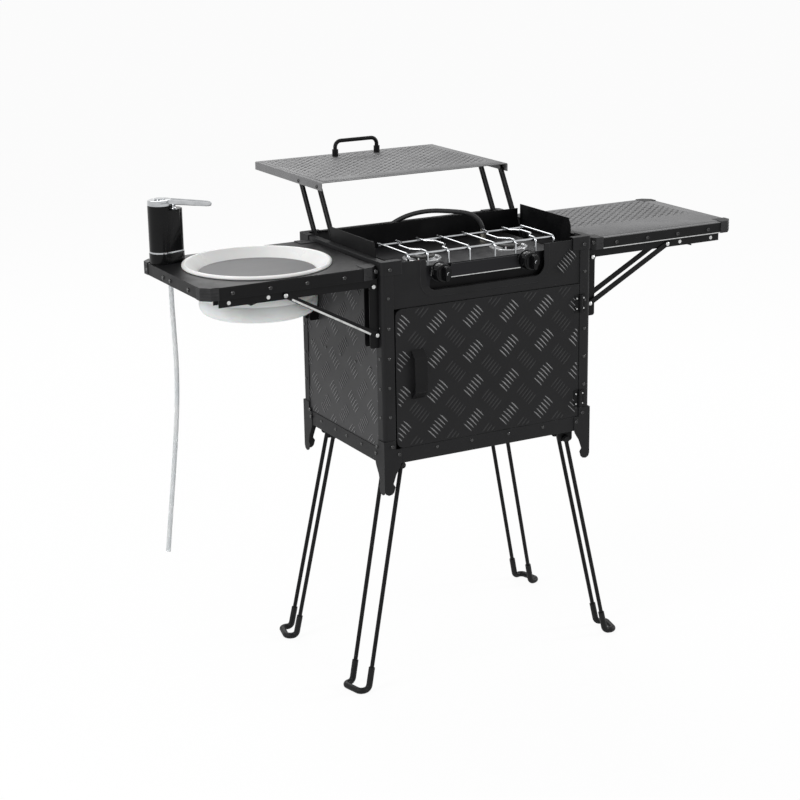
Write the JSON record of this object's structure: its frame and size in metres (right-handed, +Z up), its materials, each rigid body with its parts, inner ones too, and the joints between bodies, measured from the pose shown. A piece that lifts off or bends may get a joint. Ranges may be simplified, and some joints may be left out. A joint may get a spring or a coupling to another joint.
{
  "type": "folding camping kitchen",
  "caption": "Steel camp kitchen on folding hairpin legs: cupboard, gas stove, lid shelf on swinging arms, fold-down side worktops, collapsible basin and tap.",
  "frame": {"origin": "on the floor, under the middle of the whole object", "axes": "+X to the right along the front, +Y to the back, +Z up"},
  "size_m": [1.1344, 0.594, 0.96],
  "materials": {
    "black_powder_coat": "fine-textured matt black powder coat on pressed steel",
    "grey_powder_coat": "matt dark grey powder coat on pressed steel",
    "chrome_plate": "bright plated",
    "brass": "turned",
    "black_plastic": "moulded, half gloss",
    "guard_plastic": "moulded, matt, ribbed",
    "foot_rubber": "matt sleeve",
    "hose_rubber": "smooth hose",
    "clear_hose": "clear soft tube",
    "white_plastic": "moulded, half gloss",
    "basin_silicone": "translucent soft skirt",
    "grey_plastic": "moulded, matt"
  },
  "bodies": {
    "cabinet": {"corner_posts": "black_powder_coat", "edge_rails": "black_powder_coat", "floor_panel": "black_powder_coat", "left_side_panel": "black_powder_coat", "right_side_panel": "black_powder_coat", "back_panel": "black_powder_coat", "front_cover": "black_powder_coat", "middle_shelf": "black_powder_coat", "stove_tray": "black_powder_coat", "corner_brackets": "black_powder_coat", "corner_claws": "black_powder_coat", "post_hinge_leaves": "black_powder_coat", "wind_shields": "black_powder_coat", "stove_body": "black_powder_coat", "stove_fascia": "black_powder_coat", "burners": "chrome_plate", "gas_pipes": "brass", "gas_hose": "hose_rubber", "leg_brackets": "black_powder_coat", "wall_rails": "black_powder_coat", "arm_bosses": "black_powder_coat"},
    "door": {"door_panel": "black_powder_coat", "door_pull": "black_powder_coat", "door_hinge_leaves": "black_powder_coat"},
    "left_knob": {"left_knob": "black_plastic"},
    "right_knob": {"right_knob": "black_plastic"},
    "pan_support": {"pan_support": "chrome_plate"},
    "front_left_leg": {"front_left_leg": "black_powder_coat", "front_left_leg_foot": "foot_rubber"},
    "front_right_leg": {"front_right_leg": "black_powder_coat", "front_right_leg_foot": "foot_rubber"},
    "back_left_leg": {"back_left_leg": "black_powder_coat", "back_left_leg_foot": "foot_rubber"},
    "back_right_leg": {"back_right_leg": "black_powder_coat", "back_right_leg_foot": "foot_rubber"},
    "left_wing": {"left_wing_frame": "black_powder_coat", "left_wing_top": "grey_powder_coat", "left_corner_guards": "guard_plastic", "left_shelf_rails": "black_powder_coat", "basin_rim": "white_plastic", "basin_skirt": "basin_silicone", "tap_base": "black_plastic", "tap_ring": "chrome_plate", "tap_tower": "black_plastic", "water_hose": "clear_hose"},
    "left_stays": {"left_stays": "black_powder_coat"},
    "left_levers": {"left_levers": "black_powder_coat"},
    "basin_floor": {"basin_floor": "grey_plastic"},
    "tap_head": {"tap_head": "chrome_plate"},
    "tap_button": {"tap_button": "chrome_plate"},
    "right_wing": {"right_wing_frame": "black_powder_coat", "right_wing_top": "grey_powder_coat", "right_corner_guards": "guard_plastic", "right_shelf_rails": "black_powder_coat"},
    "right_stays": {"right_stays": "black_powder_coat"},
    "right_levers": {"right_levers": "black_powder_coat"},
    "lid": {"lid_panel": "grey_powder_coat", "lid_handle": "black_powder_coat"},
    "rear_arms": {"rear_arms": "black_powder_coat"},
    "front_arms": {"front_arms": "black_powder_coat"}
  },
  "joints": [
    {"name": "door_hinge", "type": "hinge", "parent": "cabinet", "child": "door", "pos_m": [0.2015, -0.2782, 0.5985], "axis": [0, 0, 1], "range_deg": [0, 165]},
    {"name": "left_knob_turn", "type": "hinge", "parent": "cabinet", "child": "left_knob", "pos_m": [-0.1, -0.282, 0.789], "axis": [0, -1, 0], "range_deg": [0, 240]},
    {"name": "right_knob_turn", "type": "hinge", "parent": "cabinet", "child": "right_knob", "pos_m": [0.088, -0.282, 0.789], "axis": [0, -1, 0], "range_deg": [0, 240]},
    {"name": "pan_support_lift", "type": "slide", "parent": "cabinet", "child": "pan_support", "axis": [0, 0, 1], "range_m": [0, 0.06]},
    {"name": "front_right_leg_fold", "type": "hinge", "parent": "cabinet", "child": "front_right_leg", "pos_m": [0.188, -0.236, 0.4215], "axis": [0.225, 0.9744, 0], "range_deg": [0, 102]},
    {"name": "front_left_leg_fold", "type": "hinge", "parent": "cabinet", "child": "front_left_leg", "pos_m": [-0.188, -0.236, 0.431], "axis": [0.225, -0.9744, 0], "range_deg": [0, 102]},
    {"name": "back_right_leg_fold", "type": "hinge", "parent": "cabinet", "child": "back_right_leg", "pos_m": [0.188, 0.022, 0.431], "axis": [-0.225, 0.9744, 0], "range_deg": [0, 102]},
    {"name": "back_left_leg_fold", "type": "hinge", "parent": "cabinet", "child": "back_left_leg", "pos_m": [-0.188, 0.022, 0.4215], "axis": [-0.225, -0.9744, 0], "range_deg": [0, 102]},
    {"name": "left_wing_fold", "type": "hinge", "parent": "cabinet", "child": "left_wing", "pos_m": [-0.236, -0.126, 0.777], "axis": [0, -1, 0], "range_deg": [0, 90], "deforming": ["basin_skirt", "water_hose"]},
    {"name": "left_stays_swing", "type": "hinge", "parent": "cabinet", "child": "left_stays", "pos_m": [-0.2305, -0.126, 0.687], "axis": [0, -1, 0], "range_deg": [0, 114.75]},
    {"name": "left_levers_press", "type": "hinge", "parent": "left_wing", "child": "left_levers", "pos_m": [-0.442, -0.126, 0.7835], "axis": [0, 1, 0], "range_deg": [0, 15], "stiffness_Nm_per_rad": 0.3},
    {"name": "right_wing_fold", "type": "hinge", "parent": "cabinet", "child": "right_wing", "pos_m": [0.236, -0.126, 0.777], "axis": [0, 1, 0], "range_deg": [0, 90]},
    {"name": "right_stays_swing", "type": "hinge", "parent": "cabinet", "child": "right_stays", "pos_m": [0.2305, -0.126, 0.687], "axis": [0, 1, 0], "range_deg": [0, 114.75]},
    {"name": "right_levers_press", "type": "hinge", "parent": "right_wing", "child": "right_levers", "pos_m": [0.442, -0.126, 0.7835], "axis": [0, -1, 0], "range_deg": [0, 15], "stiffness_Nm_per_rad": 0.3},
    {"name": "basin_floor_push", "type": "slide", "parent": "left_wing", "child": "basin_floor", "axis": [0, 0, -1], "range_m": [0, 0.03]},
    {"name": "tap_swivel", "type": "hinge", "parent": "left_wing", "child": "tap_head", "pos_m": [-0.541, -0.022, 0.924], "axis": [0, 0, 1], "range_deg": [-90, 90]},
    {"name": "tap_button_press", "type": "slide", "parent": "tap_head", "child": "tap_button", "axis": [0, 0, -1], "range_m": [0, 0.001], "stiffness_N_per_m": 800},
    {"name": "rear_arms_swing", "type": "hinge", "parent": "cabinet", "child": "rear_arms", "pos_m": [0, 0.0047, 0.7576], "axis": [-1, 0, 0], "range_deg": [-94.3, 0], "deforming": ["gas_hose"]},
    {"name": "front_arms_swing", "type": "hinge", "parent": "cabinet", "child": "front_arms", "pos_m": [0, -0.0753, 0.7576], "axis": [-1, 0, 0], "range_deg": [-94.3, 0]},
    {"name": "lid_level", "type": "hinge", "parent": "rear_arms", "child": "lid", "pos_m": [0, 0.095, 0.914], "axis": [-1, 0, 0], "range_deg": [0, 94.3]}
  ],
  "couplings": [
    {"joint": "left_stays_swing", "follows": "left_wing_fold", "ratio": 1.2744},
    {"joint": "right_stays_swing", "follows": "right_wing_fold", "ratio": 1.2744},
    {"joint": "front_arms_swing", "follows": "rear_arms_swing", "ratio": 1},
    {"joint": "lid_level", "follows": "rear_arms_swing", "ratio": -1}
  ]
}
